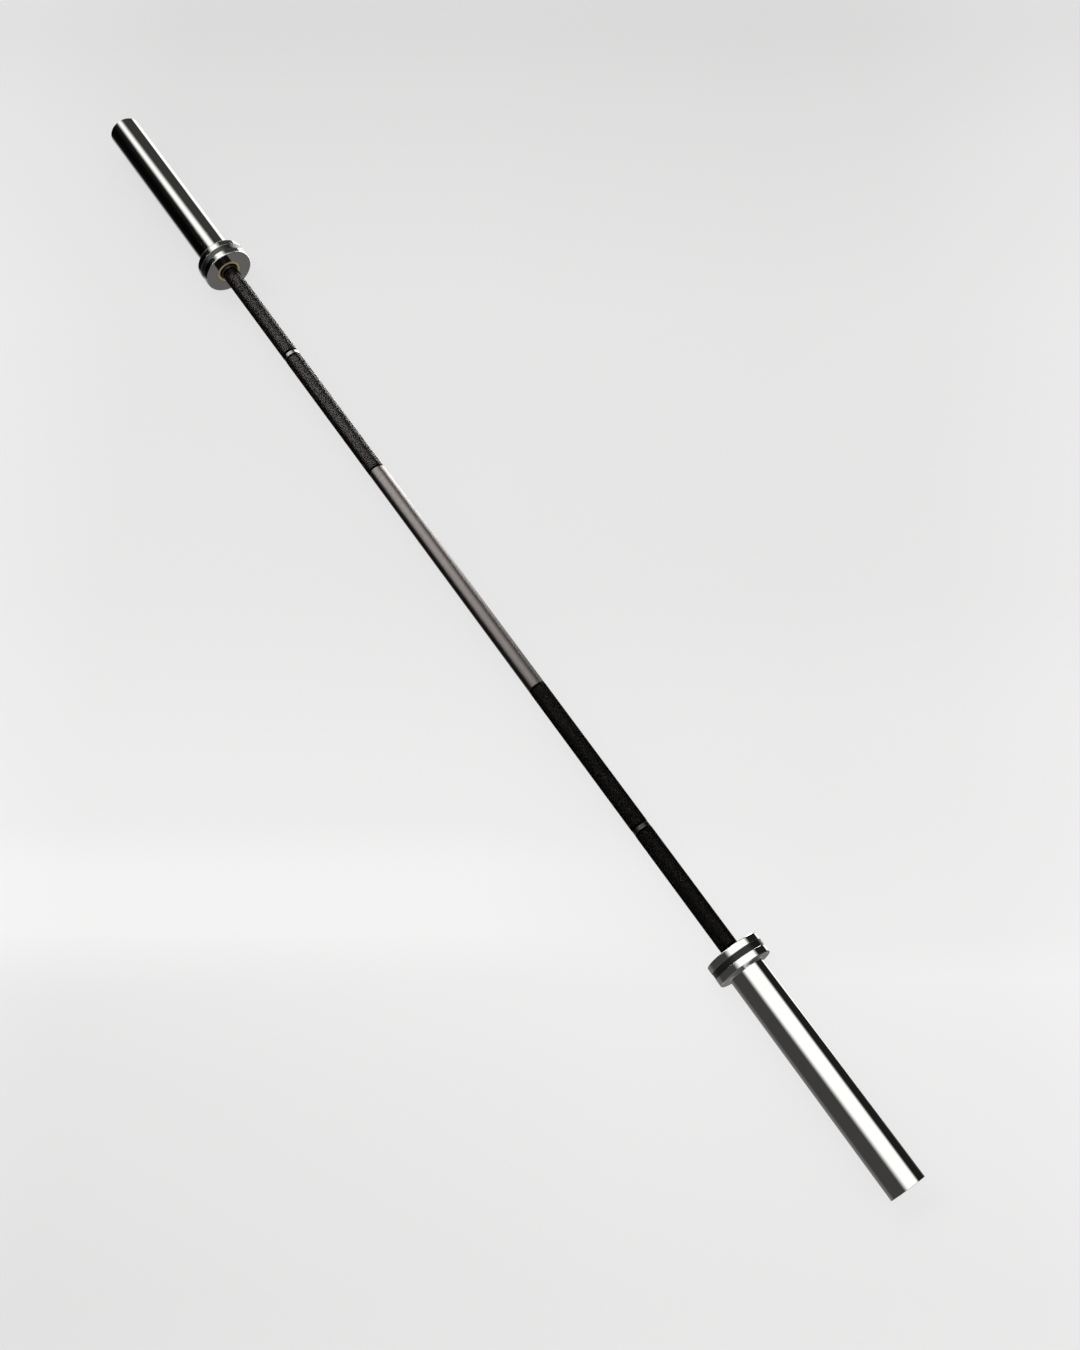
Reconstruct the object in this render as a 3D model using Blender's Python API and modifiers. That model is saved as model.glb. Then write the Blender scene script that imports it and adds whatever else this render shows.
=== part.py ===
"""Competition barbell for women's weightlifting: 15 kg class, 2.01 m long, 25 mm shaft, 50 mm spinning sleeves.

The bar lies along X with its middle at the origin. Each end is one sleeve assembly that spins on the shaft:
a tube with a collar at its inboard end, two bronze bushings, thrust washers, a snap ring on the shaft and a
cap that a retaining ring holds in the tube's mouth. Both ends are the same assembly turned end for end.
Profiles are lists of (radius, distance) points, and an end's distances start at its collar's inner face.
"""

import math

import bpy
from mathutils import Vector

# Overall sizes
BAR_LENGTH = 2.010
COLLAR_SPAN = 1.310
SEAT_GAP = 0.0003
RUNNING_GAP = 0.0003

# Shaft
SHAFT_DIAMETER = 0.025
PLAIN_CENTRE_LENGTH = 0.420
KNURL_RISE = 0.0002
KNURL_RUNOUT = 0.0008
KNURL_STOP = 0.0030
RING_MARK_SPAN = 0.910
RING_MARK_WIDTH = 0.0053
RING_MARK_DEPTH = 0.0001
SHOULDER_LENGTH = 0.0017
SHOULDER_ROUND = 0.0006
INNER_JOURNAL_DIAMETER = 0.0300
SHAFT_RELIEF = 0.0003
SHAFT_CHAMFER = 0.0005
SHAFT_TIP_CHAMFER = 0.0012
SHAFT_TIP_LAND = 0.0026

# Sleeve tube
SLEEVE_DIAMETER = 0.050
SLEEVE_BORE = 0.0334
SLEEVE_END_CHAMFER = 0.0003
SLEEVE_MOUTH_LAND = 0.0024
CAP_SEAT_STEP = 0.0008
RETAINING_GROOVE_DEPTH = 0.0010

# Collar
COLLAR_DIAMETER = 0.077
COLLAR_WIDTH = 0.030
COLLAR_INNER_EDGE_ROUND = 0.0012
COLLAR_OUTER_EDGE_ROUND = 0.0022
COLLAR_LIP = 0.0030
INNER_FLANGE_WIDTH = 0.0100
OUTER_FLANGE_WIDTH = 0.0110
BAND_GROOVE_DEPTH = 0.0015
BAND_RECESS = 0.0004
ROOT_FILLET = 0.0022
ROOT_FILLET_LIP = 0.0003

# Bushings and thrust washers
BUSHING_DIAMETER = 0.0386
BUSHING_RECESS = 0.0002
BUSHING_CHAMFER = 0.0005
INNER_BUSHING_LENGTH = 0.0358
OUTER_BUSHING_LENGTH = 0.0260
WASHER_THICKNESS = 0.0020
END_FLOAT = 0.0005

# Snap ring on the shaft and retaining ring in the sleeve
RING_THICKNESS = 0.0015
SNAP_GROOVE_DEPTH = 0.0012
SNAP_RING_HEIGHT = 0.0030
RETAINING_RING_HEIGHT = 0.0027
RING_OPENING_DEG = 34.0
LUG_WIDTH_DEG = 16.0
LUG_HEIGHT = 0.0026
LUG_HOLE_RADIUS = 0.0009

# End cap and its O-ring
CAP_THICKNESS = 0.0060
CAP_CLEAR_OF_SHAFT = 0.0025
CAP_CHAMFER = 0.0005
CAP_RIM_WIDTH = 0.0040
CAP_DISH_DEPTH = 0.0012
CAP_DISH_SLOPE = 0.0010
O_RING_SECTION = 0.0018

# Facets round a turn
FACETS_OUTER = 36
FACETS_INNER = 28
FACETS_O_RING_SECTION = 6
ROUND_STEPS = 2
RING_ARC_STEPS = 22
LUG_HOLE_STEPS = 8
SMOOTH_ANGLE = math.radians(30)
WELD = 0.00001

# Radii that several pieces share
SHAFT_R = SHAFT_DIAMETER / 2
KNURL_R = SHAFT_R + KNURL_RISE
INNER_JOURNAL_R = INNER_JOURNAL_DIAMETER / 2
RELIEF_R = SHAFT_R - SHAFT_RELIEF
SLEEVE_R = SLEEVE_DIAMETER / 2
BUSHING_R = BUSHING_DIAMETER / 2
BUSHING_SEAT_R = BUSHING_R + SEAT_GAP
CAP_SEAT_R = BUSHING_SEAT_R + CAP_SEAT_STEP
CAP_R = CAP_SEAT_R - SEAT_GAP
RETAINING_GROOVE_R = CAP_SEAT_R + RETAINING_GROOVE_DEPTH
RETAINING_RING_R = RETAINING_GROOVE_R - SEAT_GAP
SNAP_GROOVE_R = SHAFT_R - SNAP_GROOVE_DEPTH
SNAP_RING_R = SNAP_GROOVE_R + SEAT_GAP
COLLAR_R = COLLAR_DIAMETER / 2

# Stations along one end, from the collar's inner face outwards
END_LENGTH = (BAR_LENGTH - COLLAR_SPAN) / 2
RING_GROOVE_WIDTH = RING_THICKNESS + 2 * SEAT_GAP
INNER_BUSHING_END = BUSHING_RECESS + INNER_BUSHING_LENGTH
INNER_WASHER_START = INNER_BUSHING_END + SEAT_GAP
INNER_WASHER_END = INNER_WASHER_START + WASHER_THICKNESS
INNER_SEAT_END = INNER_WASHER_END + SEAT_GAP
RETAINING_GROOVE_OUT = END_LENGTH - SLEEVE_MOUTH_LAND
RETAINING_GROOVE_IN = RETAINING_GROOVE_OUT - RING_GROOVE_WIDTH
CAP_OUT = RETAINING_GROOVE_IN
CAP_IN = CAP_OUT - CAP_THICKNESS
CAP_SEAT_START = CAP_IN - SEAT_GAP
SHAFT_END = CAP_IN - CAP_CLEAR_OF_SHAFT
SNAP_GROOVE_OUT = SHAFT_END - SHAFT_TIP_LAND
SNAP_GROOVE_IN = SNAP_GROOVE_OUT - RING_GROOVE_WIDTH
OUTER_WASHER_END = SNAP_GROOVE_IN + SEAT_GAP - END_FLOAT
OUTER_WASHER_START = OUTER_WASHER_END - WASHER_THICKNESS
OUTER_BUSHING_END = OUTER_WASHER_START - RUNNING_GAP
OUTER_BUSHING_START = OUTER_BUSHING_END - OUTER_BUSHING_LENGTH
OUTER_SEAT_START = OUTER_BUSHING_START - SEAT_GAP
OUTER_JOURNAL_START = OUTER_SEAT_START - SHAFT_RELIEF
SHAFT_STEP = INNER_WASHER_START - END_FLOAT


def clear_scene():
    for thing in list(bpy.data.objects):
        bpy.data.objects.remove(thing, do_unlink=True)


def metal(name, colour, roughness, metallic=1.0):
    """A Principled material with one colour, roughness and metallic value."""
    material = bpy.data.materials.new(name)
    material.use_nodes = True
    shader = material.node_tree.nodes["Principled BSDF"]
    shader.inputs["Base Color"].default_value = (*colour, 1.0)
    shader.inputs["Roughness"].default_value = roughness
    shader.inputs["Metallic"].default_value = metallic
    material.diffuse_color = (*colour, 1.0)
    return material


def arc(centre_r, centre_z, radius, start_deg, end_deg, steps=ROUND_STEPS):
    """Points on an arc in the profile plane; 0 degrees points outwards and 90 along the bar."""
    points = []
    for step in range(steps + 1):
        angle = math.radians(start_deg + (end_deg - start_deg) * step / steps)
        points.append((centre_r + radius * math.cos(angle), centre_z + radius * math.sin(angle)))
    return points


def turned_mesh(name, profile, facets, closed=True):
    """Spin a profile round the bar's axis. It runs down its outer side, and a closed one ends where it starts."""
    outline = bpy.data.meshes.new(name + "_outline")
    vertices = [(radius, 0.0, distance) for radius, distance in profile]
    edges = [(i, i + 1) for i in range(len(vertices) - 1)]
    if closed:
        edges.append((len(vertices) - 1, 0))
    outline.from_pydata(vertices, edges, [])
    holder = bpy.data.objects.new(name + "_outline", outline)
    bpy.context.scene.collection.objects.link(holder)
    screw = holder.modifiers.new("turn", "SCREW")
    screw.axis = "Z"
    screw.steps = facets
    screw.render_steps = facets
    screw.use_merge_vertices = True
    screw.merge_threshold = WELD
    mesh = bpy.data.meshes.new_from_object(holder.evaluated_get(bpy.context.evaluated_depsgraph_get()))
    mesh.name = name
    bpy.data.objects.remove(holder, do_unlink=True)
    bpy.data.meshes.remove(outline)
    mesh.shade_smooth()
    mesh.set_sharp_from_angle(angle=SMOOTH_ANGLE)
    return mesh


def place(name, data, material, collection, parent, facets=0, distance=0.0):
    """Put a piece on an axis frame; half a facet of turn lays a flat of every turned piece downwards."""
    piece = bpy.data.objects.new(name, data)
    collection.objects.link(piece)
    piece.parent = parent
    piece.location = (0.0, 0.0, distance)
    if facets:
        piece.rotation_euler = (0.0, 0.0, math.pi / facets)
    if not data.materials:
        data.materials.append(material)
    return piece


def axis_frame(name, x, outward, collection):
    """An empty on the bar's axis whose Z points along the bar, outward being 1 to the right and -1 to the left."""
    frame = bpy.data.objects.new(name, None)
    frame.empty_display_type = "ARROWS"
    frame.empty_display_size = 0.05
    frame.location = (x, 0.0, 0.0)
    frame.rotation_euler = (0.0, outward * math.pi / 2, 0.0)
    collection.objects.link(frame)
    return frame


def shaft_half():
    """The shaft's outline from its right tip back to the middle, as (radius, distance from the middle)."""
    face = COLLAR_SPAN / 2
    mark_in = RING_MARK_SPAN / 2
    mark_out = mark_in + RING_MARK_WIDTH
    plain_half = PLAIN_CENTRE_LENGTH / 2
    mark_r = SHAFT_R - RING_MARK_DEPTH
    tip = face + SHAFT_END
    shoulder = face - SHOULDER_LENGTH
    round_r = INNER_JOURNAL_R - SHOULDER_ROUND
    return [
        (0.0, tip),
        (SHAFT_R - SHAFT_TIP_CHAMFER, tip),
        (SHAFT_R, tip - SHAFT_TIP_CHAMFER),
        (SHAFT_R, face + SNAP_GROOVE_OUT),
        (SNAP_GROOVE_R, face + SNAP_GROOVE_OUT),
        (SNAP_GROOVE_R, face + SNAP_GROOVE_IN),
        (SHAFT_R, face + SNAP_GROOVE_IN),
        (SHAFT_R, face + OUTER_JOURNAL_START),
        (RELIEF_R, face + OUTER_JOURNAL_START - SHAFT_CHAMFER),
        (RELIEF_R, face + SHAFT_STEP),
        (INNER_JOURNAL_R - SHAFT_CHAMFER, face + SHAFT_STEP),
        (INNER_JOURNAL_R, face + SHAFT_STEP - SHAFT_CHAMFER),
        *arc(round_r, face + SHOULDER_ROUND, SHOULDER_ROUND, 0, -60),
        (SHAFT_R, shoulder),
        (SHAFT_R, face - KNURL_STOP),
        (KNURL_R, face - KNURL_STOP - KNURL_RUNOUT),
        (KNURL_R, mark_out + KNURL_RUNOUT),
        (mark_r, mark_out),
        (mark_r, mark_in),
        (KNURL_R, mark_in - KNURL_RUNOUT),
        (KNURL_R, plain_half + KNURL_RUNOUT),
        (SHAFT_R, plain_half),
    ]


def shaft_profile():
    right = shaft_half()
    left = [(radius, -distance) for radius, distance in reversed(right)]
    return right + left


def collar_profile():
    """The collar with its lip over the tube's end, two flanges, the band's groove and the fillet at its root."""
    bore_r = SLEEVE_R + SEAT_GAP
    root_r = bore_r + ROOT_FILLET_LIP
    inner_round = COLLAR_INNER_EDGE_ROUND
    outer_round = COLLAR_OUTER_EDGE_ROUND
    groove_r = COLLAR_R - BAND_GROOVE_DEPTH
    groove_out = COLLAR_WIDTH - OUTER_FLANGE_WIDTH
    return [
        (bore_r, COLLAR_WIDTH + ROOT_FILLET),
        *arc(root_r + ROOT_FILLET, COLLAR_WIDTH + ROOT_FILLET, ROOT_FILLET, 180, 270),
        *arc(COLLAR_R - outer_round, COLLAR_WIDTH - outer_round, outer_round, 90, 0),
        (COLLAR_R, groove_out),
        (groove_r, groove_out),
        (groove_r, INNER_FLANGE_WIDTH),
        (COLLAR_R, INNER_FLANGE_WIDTH),
        *arc(COLLAR_R - inner_round, inner_round, inner_round, 0, -90),
        (BUSHING_SEAT_R, 0.0),
        (BUSHING_SEAT_R, COLLAR_LIP),
        (bore_r, COLLAR_LIP),
    ]


def band_profile():
    inner_r = COLLAR_R - BAND_GROOVE_DEPTH + SEAT_GAP
    outer_r = COLLAR_R - BAND_RECESS
    return plain_ring(inner_r, outer_r, INNER_FLANGE_WIDTH + SEAT_GAP, COLLAR_WIDTH - OUTER_FLANGE_WIDTH - SEAT_GAP)


def plain_ring(inner_r, outer_r, start, end, chamfer=0.0):
    """A plain ring with square or chamfered corners."""
    if not chamfer:
        return [(inner_r, end), (outer_r, end), (outer_r, start), (inner_r, start)]
    return [
        (inner_r, end - chamfer),
        (inner_r + chamfer, end),
        (outer_r - chamfer, end),
        (outer_r, end - chamfer),
        (outer_r, start + chamfer),
        (outer_r - chamfer, start),
        (inner_r + chamfer, start),
        (inner_r, start + chamfer),
    ]


def sleeve_profile():
    """The tube: bushing seats at both ends of the bore, then the cap's seat, its ring groove and the mouth."""
    chamfer = SLEEVE_END_CHAMFER
    bore_r = SLEEVE_BORE / 2
    start = COLLAR_LIP + SEAT_GAP
    return [
        (CAP_SEAT_R + chamfer, END_LENGTH),
        (SLEEVE_R - chamfer, END_LENGTH),
        (SLEEVE_R, END_LENGTH - chamfer),
        (SLEEVE_R, start + chamfer),
        (SLEEVE_R - chamfer, start),
        (BUSHING_SEAT_R, start),
        (BUSHING_SEAT_R, INNER_SEAT_END),
        (bore_r, INNER_SEAT_END),
        (bore_r, OUTER_SEAT_START),
        (BUSHING_SEAT_R, OUTER_SEAT_START),
        (BUSHING_SEAT_R, CAP_SEAT_START),
        (CAP_SEAT_R, CAP_SEAT_START),
        (CAP_SEAT_R, RETAINING_GROOVE_IN),
        (RETAINING_GROOVE_R, RETAINING_GROOVE_IN),
        (RETAINING_GROOVE_R, RETAINING_GROOVE_OUT),
        (CAP_SEAT_R, RETAINING_GROOVE_OUT),
        (CAP_SEAT_R, END_LENGTH - chamfer),
    ]


def cap_profile():
    """The end cap: a disc with a dished outer face and an O-ring groove round its rim."""
    dish_r = CAP_R - CAP_RIM_WIDTH
    middle = (CAP_IN + CAP_OUT) / 2
    groove_half = O_RING_SECTION / 2 + SEAT_GAP
    groove_r = CAP_R - O_RING_SECTION - SEAT_GAP
    return [
        (0.0, CAP_OUT - CAP_DISH_DEPTH),
        (dish_r - CAP_DISH_SLOPE, CAP_OUT - CAP_DISH_DEPTH),
        (dish_r, CAP_OUT),
        (CAP_R - CAP_CHAMFER, CAP_OUT),
        (CAP_R, CAP_OUT - CAP_CHAMFER),
        (CAP_R, middle + groove_half),
        (groove_r, middle + groove_half),
        (groove_r, middle - groove_half),
        (CAP_R, middle - groove_half),
        (CAP_R, CAP_IN + CAP_CHAMFER),
        (CAP_R - CAP_CHAMFER, CAP_IN),
        (0.0, CAP_IN),
    ]


def polar(radius, angle_deg):
    angle = math.radians(angle_deg)
    return Vector((radius * math.cos(angle), radius * math.sin(angle)))


def arc_points(radius, start_deg, end_deg, steps):
    return [polar(radius, start_deg + (end_deg - start_deg) * i / steps) for i in range(steps + 1)]


def circlip_curve(name, seat_r, height, lug_side):
    """An open ring with two drilled lugs, as a flat curve. lug_side is 1 for lugs outside, -1 for lugs inside.

    seat_r is the edge that sits in the groove: the inner one of a snap ring, the outer one of a retaining ring.
    """
    free_r = seat_r + lug_side * height
    lug_r = free_r + lug_side * LUG_HEIGHT
    opening = RING_OPENING_DEG / 2
    lug_end = opening + LUG_WIDTH_DEG
    seat_edge = arc_points(seat_r, opening, 360 - opening, RING_ARC_STEPS)
    free_edge = arc_points(free_r, 360 - lug_end, lug_end, RING_ARC_STEPS)
    far_lug = arc_points(lug_r, 360 - opening, 360 - lug_end, 2)
    near_lug = arc_points(lug_r, lug_end, opening, 2)
    curve = bpy.data.curves.new(name, "CURVE")
    curve.dimensions = "2D"
    curve.fill_mode = "BOTH"
    curve.extrude = RING_THICKNESS / 2
    add_loop(curve, seat_edge + far_lug + free_edge + near_lug)
    for angle in (opening + LUG_WIDTH_DEG / 2, 360 - opening - LUG_WIDTH_DEG / 2):
        hole_middle = polar(free_r + lug_side * LUG_HEIGHT / 3, angle)
        hole = [hole_middle + polar(LUG_HOLE_RADIUS, 360 * i / LUG_HOLE_STEPS) for i in range(LUG_HOLE_STEPS)]
        add_loop(curve, hole)
    return curve


def add_loop(curve, points):
    spline = curve.splines.new("POLY")
    spline.points.add(len(points) - 1)
    for point, place_at in zip(spline.points, points):
        point.co = (place_at.x, place_at.y, 0.0, 1.0)
    spline.use_cyclic_u = True


def o_ring_mesh(name):
    major = CAP_R - O_RING_SECTION / 2
    bpy.ops.mesh.primitive_torus_add(
        major_segments=FACETS_INNER,
        minor_segments=FACETS_O_RING_SECTION,
        major_radius=major,
        minor_radius=O_RING_SECTION / 2,
    )
    ring = bpy.context.object
    mesh = ring.data
    mesh.name = name
    bpy.data.objects.remove(ring, do_unlink=True)
    mesh.shade_smooth()
    return mesh


def end_meshes():
    """The meshes and curves of one end, shared by both ends: name, data, facets and distance along the end."""
    inner_washer = plain_ring(RELIEF_R + SEAT_GAP, BUSHING_R, INNER_WASHER_START, INNER_WASHER_END)
    outer_washer = plain_ring(SHAFT_R + SEAT_GAP, BUSHING_R, OUTER_WASHER_START, OUTER_WASHER_END)
    inner_bushing = plain_ring(
        INNER_JOURNAL_R + RUNNING_GAP, BUSHING_R, BUSHING_RECESS, INNER_BUSHING_END, BUSHING_CHAMFER
    )
    outer_bushing = plain_ring(
        SHAFT_R + RUNNING_GAP, BUSHING_R, OUTER_BUSHING_START, OUTER_BUSHING_END, BUSHING_CHAMFER
    )
    snap_middle = (SNAP_GROOVE_IN + SNAP_GROOVE_OUT) / 2
    retaining_middle = (RETAINING_GROOVE_IN + RETAINING_GROOVE_OUT) / 2
    cap_middle = (CAP_IN + CAP_OUT) / 2
    snap = circlip_curve("snap_ring", SNAP_RING_R, SNAP_RING_HEIGHT, 1)
    retaining = circlip_curve("retaining_ring", RETAINING_RING_R, RETAINING_RING_HEIGHT, -1)
    return [
        ("sleeve", turned_mesh("sleeve", sleeve_profile(), FACETS_OUTER), FACETS_OUTER, 0.0),
        ("collar", turned_mesh("collar", collar_profile(), FACETS_OUTER), FACETS_OUTER, 0.0),
        ("collar_band", turned_mesh("collar_band", band_profile(), FACETS_OUTER), FACETS_OUTER, 0.0),
        ("inner_bushing", turned_mesh("inner_bushing", inner_bushing, FACETS_INNER), FACETS_INNER, 0.0),
        ("outer_bushing", turned_mesh("outer_bushing", outer_bushing, FACETS_INNER), FACETS_INNER, 0.0),
        ("inner_thrust_washer", turned_mesh("inner_washer", inner_washer, FACETS_INNER), FACETS_INNER, 0.0),
        ("outer_thrust_washer", turned_mesh("outer_washer", outer_washer, FACETS_INNER), FACETS_INNER, 0.0),
        ("snap_ring", snap, 0, snap_middle),
        ("end_cap", turned_mesh("end_cap", cap_profile(), FACETS_INNER, closed=False), FACETS_INNER, 0.0),
        ("cap_o_ring", o_ring_mesh("cap_o_ring"), FACETS_INNER, cap_middle),
        ("retaining_ring", retaining, 0, retaining_middle),
    ]


def build():
    clear_scene()
    collection = bpy.data.collections.new("barbell")
    bpy.context.scene.collection.children.link(collection)
    chrome = metal("chrome", (0.78, 0.79, 0.80), 0.06)
    materials = {
        "sleeve": chrome,
        "collar": chrome,
        "collar_band": metal("band_black", (0.022, 0.021, 0.022), 0.45, 0.0),
        "inner_bushing": metal("bronze", (0.42, 0.33, 0.12), 0.30),
        "inner_thrust_washer": metal("plain_steel", (0.50, 0.50, 0.50), 0.35),
        "snap_ring": metal("spring_steel", (0.10, 0.10, 0.11), 0.40),
        "end_cap": metal("cap_black", (0.035, 0.035, 0.037), 0.38),
        "cap_o_ring": metal("rubber", (0.02, 0.02, 0.02), 0.60, 0.0),
    }
    materials["outer_bushing"] = materials["inner_bushing"]
    materials["outer_thrust_washer"] = materials["inner_thrust_washer"]
    materials["retaining_ring"] = materials["snap_ring"]
    middle = axis_frame("bar_middle", 0.0, 1, collection)
    shaft = turned_mesh("shaft", shaft_profile(), FACETS_OUTER, closed=False)
    place("shaft", shaft, metal("black_steel", (0.035, 0.034, 0.034), 0.34), collection, middle, FACETS_OUTER)
    shared = end_meshes()
    for side, outward in (("left", -1), ("right", 1)):
        spin = axis_frame(side + "_spin", outward * COLLAR_SPAN / 2, outward, collection)
        for name, data, facets, distance in shared:
            place(f"{side}_{name}", data, materials[name], collection, spin, facets, distance)


build()
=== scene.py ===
"""Studio picture of a 15 kg weightlifting bar: knurled black shaft, chrome sleeves that spin, collars.

The bar lies along X with its middle at the origin, in metres. Each piece of the right-hand end is modelled
first, and the left-hand one is its copy turned over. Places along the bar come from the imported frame, and
radii from the values below.
"""

import math

import bmesh
import bpy
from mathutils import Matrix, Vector


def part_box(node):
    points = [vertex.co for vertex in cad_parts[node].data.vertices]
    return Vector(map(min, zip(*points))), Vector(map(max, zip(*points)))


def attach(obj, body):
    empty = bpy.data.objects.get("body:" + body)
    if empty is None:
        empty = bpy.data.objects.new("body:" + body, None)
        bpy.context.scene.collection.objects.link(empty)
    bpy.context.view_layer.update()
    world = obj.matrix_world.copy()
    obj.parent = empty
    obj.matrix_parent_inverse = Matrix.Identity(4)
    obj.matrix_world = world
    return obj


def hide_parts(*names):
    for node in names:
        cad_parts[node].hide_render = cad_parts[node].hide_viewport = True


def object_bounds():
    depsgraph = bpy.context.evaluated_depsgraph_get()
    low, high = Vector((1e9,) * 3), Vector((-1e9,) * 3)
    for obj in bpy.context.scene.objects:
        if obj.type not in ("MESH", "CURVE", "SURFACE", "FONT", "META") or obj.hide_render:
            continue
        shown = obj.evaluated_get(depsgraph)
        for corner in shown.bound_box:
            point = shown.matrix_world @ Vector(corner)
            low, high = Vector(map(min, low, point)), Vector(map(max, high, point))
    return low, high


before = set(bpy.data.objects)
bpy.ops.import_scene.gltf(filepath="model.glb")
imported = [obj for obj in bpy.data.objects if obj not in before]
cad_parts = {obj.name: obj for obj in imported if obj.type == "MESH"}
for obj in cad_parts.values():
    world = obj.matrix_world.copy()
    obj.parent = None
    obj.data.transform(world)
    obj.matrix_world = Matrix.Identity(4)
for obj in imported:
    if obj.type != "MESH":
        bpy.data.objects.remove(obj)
frame_low, frame_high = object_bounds()

# Shaft
SHAFT_R = 0.0125
MARK_R = 0.0124
CORE_R = 0.0121
JOURNAL_R = 0.0150
RELIEF_R = 0.0122
SNAP_GROOVE_R = 0.0113
PLAIN_HALF = 0.2100
MARK_START = 0.4550
MARK_WIDTH = 0.0053
SHOULDER_LENGTH = 0.0017
KNURL_STOP = 0.0030
STEP_CHAMFER = 0.0004
TIP_CHAMFER = 0.0012
SHAFT_CHAMFER = 0.0005
SHOULDER_ROUND = 0.0006
END_FLOAT = 0.0005

# Knurled grips
KNURL_ROOT_R = 0.0123
DIAMONDS_ROUND = 50
DIAMOND_LENGTH = 0.0028
DIAMOND_INSET = 0.00047
DIAMOND_HEIGHT = 0.00034
FADE_LENGTH = 0.0030
FADED_SHARE = 0.55

# Sleeve tube
SLEEVE_R = 0.0250
SEAT_R = 0.0196
BORE_R = 0.0167
CAP_SEAT_R = 0.0204
RING_GROOVE_R = 0.0214
SLEEVE_CHAMFER = 0.0003
SEAT_GAP = 0.0003

# Collar and its band
COLLAR_WIDTH = 0.0300
COLLAR_LIP = 0.0030
INNER_EDGE_ROUND = 0.0012
OUTER_EDGE_ROUND = 0.0022
INNER_FLANGE = 0.0100
OUTER_FLANGE = 0.0110
GROOVE_DEPTH = 0.0015
GROOVE_EDGE_ROUND = 0.0003
BAND_RECESS = 0.0004
ROOT_FILLET = 0.0021
ROOT_STEP = 0.00005
FINE_CHAMFER = 0.0002

# Bushings, washers, cap and rings
BUSHING_R = 0.0193
INNER_BUSHING_BORE_R = 0.0153
OUTER_BUSHING_BORE_R = 0.0128
INNER_WASHER_BORE_R = 0.0125
BUSHING_CHAMFER = 0.0005
CAP_R = 0.0201
CAP_RIM_WIDTH = 0.0040
CAP_DISH_DEPTH = 0.0012
CAP_DISH_SLOPE = 0.0010
CAP_CHAMFER = 0.0005
O_RING_SECTION = 0.0018
O_RING_SIDES = 24
FLASH_HEIGHT = 0.00004
SNAP_RING_R = 0.0116
SNAP_RING_HEIGHT = 0.0030
RETAINING_RING_R = 0.0211
RETAINING_RING_HEIGHT = 0.0027
CIRCLIP_SIDES = 360
HALF_OPENING = math.radians(17)
LUG_ANGLE = math.radians(16)
LUG_END = HALF_OPENING + LUG_ANGLE
LUG_HEIGHT = 0.0026
LUG_HOLE_R = 0.0009
LUG_HOLE_SIDES = 32
LUG_ROUND = 0.0007
LUG_CORNER = math.radians(0.4)

# Fineness of the turned surfaces
SIDES = 160
ROUND_STEPS = 5
SMOOTH_ANGLE = math.radians(32)
TOUCH = 0.00001

# Finishes: two tones of each, which a pattern blends, and how a few patterns are laid
MICRON = 0.000001
LINE_HARSHNESS = 0.6
MOST_OF_A_PATTERN = (0.3, 0.7)
CHROME_TONES = ((0.80, 0.80, 0.80), (0.76, 0.76, 0.757))
RUB_STRETCH = (0.02, 1.0, 1.0)
RUB_ROUGHNESS = 0.05
BLACK_TONES = ((0.160, 0.1460, 0.1445), (0.182, 0.1670, 0.1650))
BLACK_SPECKLE = (0.125, 0.1140, 0.1130)
SPECKLE_SHARE = 0.35
PATCH_STRETCH = (0.6, 1.0, 1.0)
# Painted shade: the shoulders and journals, where the shaft goes into the collar, are painted near black.
JOURNAL_PAINTED_SHADE = (0.020, 0.018, 0.018)
SHAFT_TO_JOURNAL = (SHAFT_R + 0.0002, SHAFT_R + 0.0005)
MARK_POLISH = 0.12
MARK_TO_SHAFT = (MARK_R + 0.00003, MARK_R + 0.00007)
# Painted shade: the knurl's grooves and flanks, black oxide darkened far below its colour elsewhere.
GROOVE_PAINTED_SHADE_TONES = ((0.0025, 0.0023, 0.0022), (0.0040, 0.0037, 0.0035))
GROOVE_ROUGHNESS = 0.75
# Worn lands with painted light: lighter on the left-hand half of the bar and darker on the right, changing
# across the bar's middle.
LAND_LIT_AND_SHADED_TONES = ((0.280, 0.258, 0.253), (0.120, 0.111, 0.109))
LAND_ROUGHNESS = 0.26
LAND_LIGHT_TO_SHADE = (-0.20, 0.20)
LEAST_WEAR = 0.85
GRIP_STRETCH = (0.5, 1.0, 1.0)
BAND_TONES = ((0.006, 0.0056, 0.0058), (0.010, 0.0094, 0.0096))
BRONZE_TONES = ((0.66, 0.55, 0.27), (0.50, 0.42, 0.20))
STEEL_TONES = ((0.52, 0.52, 0.52), (0.43, 0.43, 0.44))
PHOSPHATE_TONES = ((0.085, 0.085, 0.092), (0.14, 0.14, 0.147))
CAP_TONES = ((0.030, 0.030, 0.032), (0.055, 0.055, 0.058))
RUBBER_TONES = ((0.014, 0.014, 0.014), (0.035, 0.035, 0.036))

# Camera and floor
CAMERA_PLACE = (0.94699, -0.49152, 1.94170)
CAMERA_AIM = (0.19722, 0.01402, 0.0)
LENS_MM = 41.402
SENSOR_MM = 36.0
LENS_CLIP = (0.05, 60.0)
FLOOR_DROP = 0.0002
STUDIO_R = 9.0
STUDIO_HEIGHT = 7.0
STUDIO_SIDES = 128
SWEEP_ROUND = 2.5
SWEEP_STEPS = 16
PAPER_GREY = (0.12, 0.12, 0.12)
PAPER_ROUGHNESS = 0.9
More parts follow.
